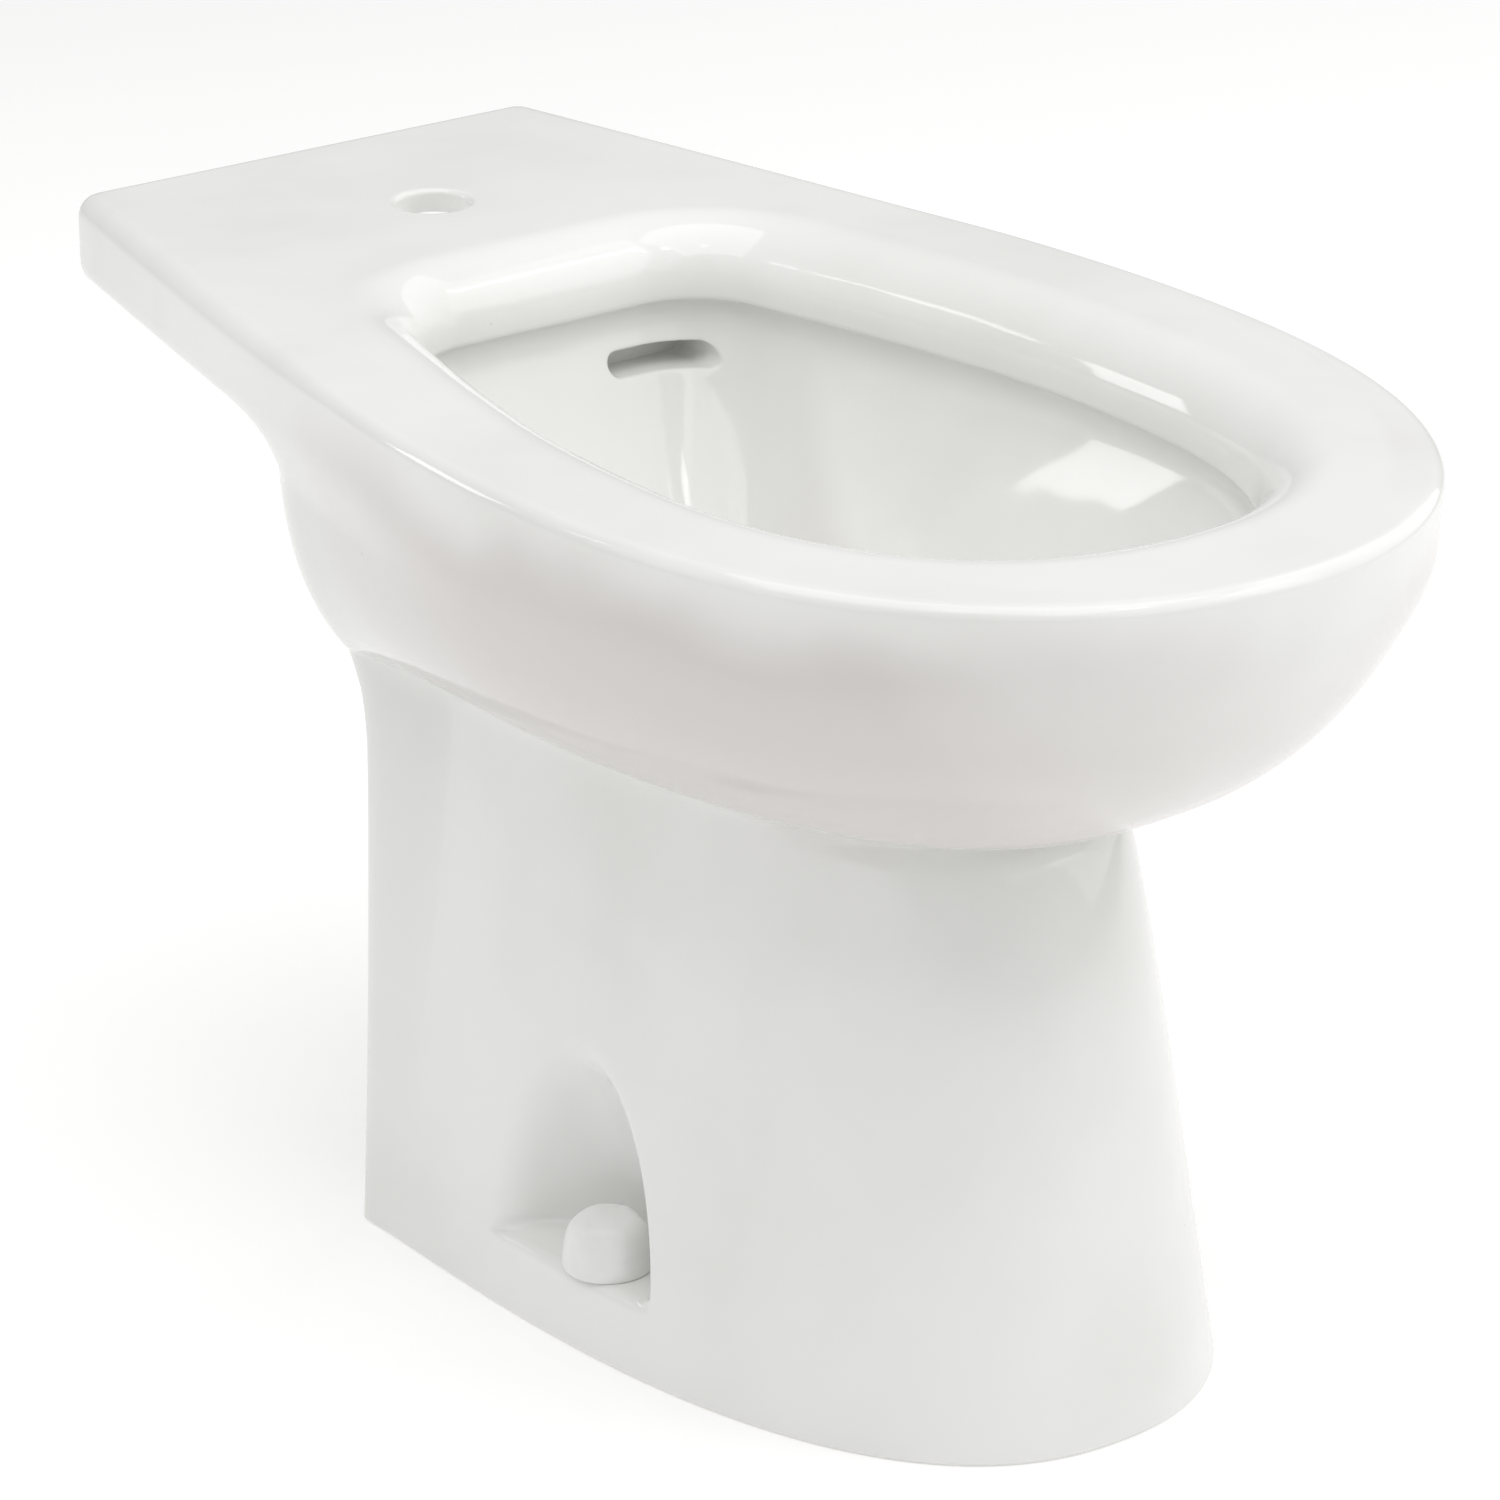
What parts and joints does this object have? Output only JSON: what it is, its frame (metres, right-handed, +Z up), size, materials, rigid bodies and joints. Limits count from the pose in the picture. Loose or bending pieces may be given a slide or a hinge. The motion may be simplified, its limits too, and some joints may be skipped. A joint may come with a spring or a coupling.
{
  "type": "bidet",
  "caption": "Floor standing bidet in white glazed ceramic with a flat tap deck, overflow slot, open backed pedestal, capped floor bolts and a push waste.",
  "frame": {"origin": "centre of the bounding box on the floor plane", "axes": "+X is the sitter's right-hand side seen from behind the deck, +Y points to the wall, +Z is up; the nose of the rim points to -Y"},
  "size_m": [0.357, 0.642, 0.38],
  "materials": {
    "china": "glossy white glaze, unglazed foot",
    "cap_plastic": "satin white",
    "nylon": "natural",
    "steel": "zinc plated",
    "chrome": "polished",
    "brass": "turned",
    "rubber": "matt black"
  },
  "bodies": {
    "base": {"china_body": "china", "cap_base_left": "nylon", "cap_base_right": "nylon", "floor_nut_left": "steel", "floor_nut_right": "steel", "floor_washer_left": "steel", "floor_washer_right": "steel", "floor_stud_left": "steel", "floor_stud_right": "steel", "waste_body": "chrome", "flange_seal": "rubber", "under_seal": "rubber", "slip_washer": "nylon", "back_nut": "brass", "plug_guide": "nylon", "tail_pipe": "chrome", "tail_ring": "rubber", "tail_nut": "chrome"},
    "cap_left": {"bolt_cap_left": "cap_plastic"},
    "cap_right": {"bolt_cap_right": "cap_plastic"},
    "plug": {"plug_cap": "chrome", "plug_seal": "rubber", "plug_stem": "steel"}
  },
  "joints": [
    {"name": "cap_left_lift", "type": "slide", "parent": "base", "child": "cap_left", "axis": [0, 0, 1], "range_m": [0, 0.03]},
    {"name": "cap_right_lift", "type": "slide", "parent": "base", "child": "cap_right", "axis": [0, 0, 1], "range_m": [0, 0.03]},
    {"name": "plug_lift", "type": "slide", "parent": "base", "child": "plug", "axis": [0, 0, 1], "range_m": [0, 0.008]}
  ]
}
